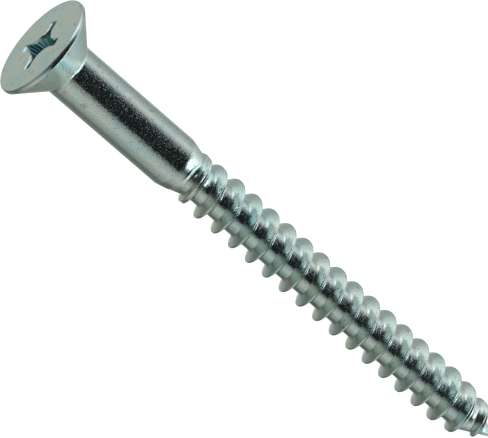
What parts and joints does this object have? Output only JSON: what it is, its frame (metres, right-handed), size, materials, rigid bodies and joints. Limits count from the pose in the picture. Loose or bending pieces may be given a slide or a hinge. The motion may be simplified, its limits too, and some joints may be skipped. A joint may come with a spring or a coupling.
{
  "type": "wood screw",
  "caption": "Flat-head wood screw with a cross recess, smooth shank, coarse right-hand thread and gimlet point, bright zinc plated steel.",
  "frame": {"origin": "centre of the cross recess's mouth, which is on the screw's axis in the plane of the head's flat face", "axes": "+Z out of the head's face along the screw's axis, so the tip points to -Z; +X and +Y lie in the face, with the recess's first wing 26 degrees from +X"},
  "size_m": [0.0106, 0.0106, 0.0615],
  "materials": {
    "zinc_plated_steel": "bright zinc plating with a clear blue passivate"
  },
  "bodies": {
    "root": {"head": "zinc_plated_steel", "shank": "zinc_plated_steel", "neck": "zinc_plated_steel", "thread": "zinc_plated_steel", "point": "zinc_plated_steel"}
  },
  "joints": []
}
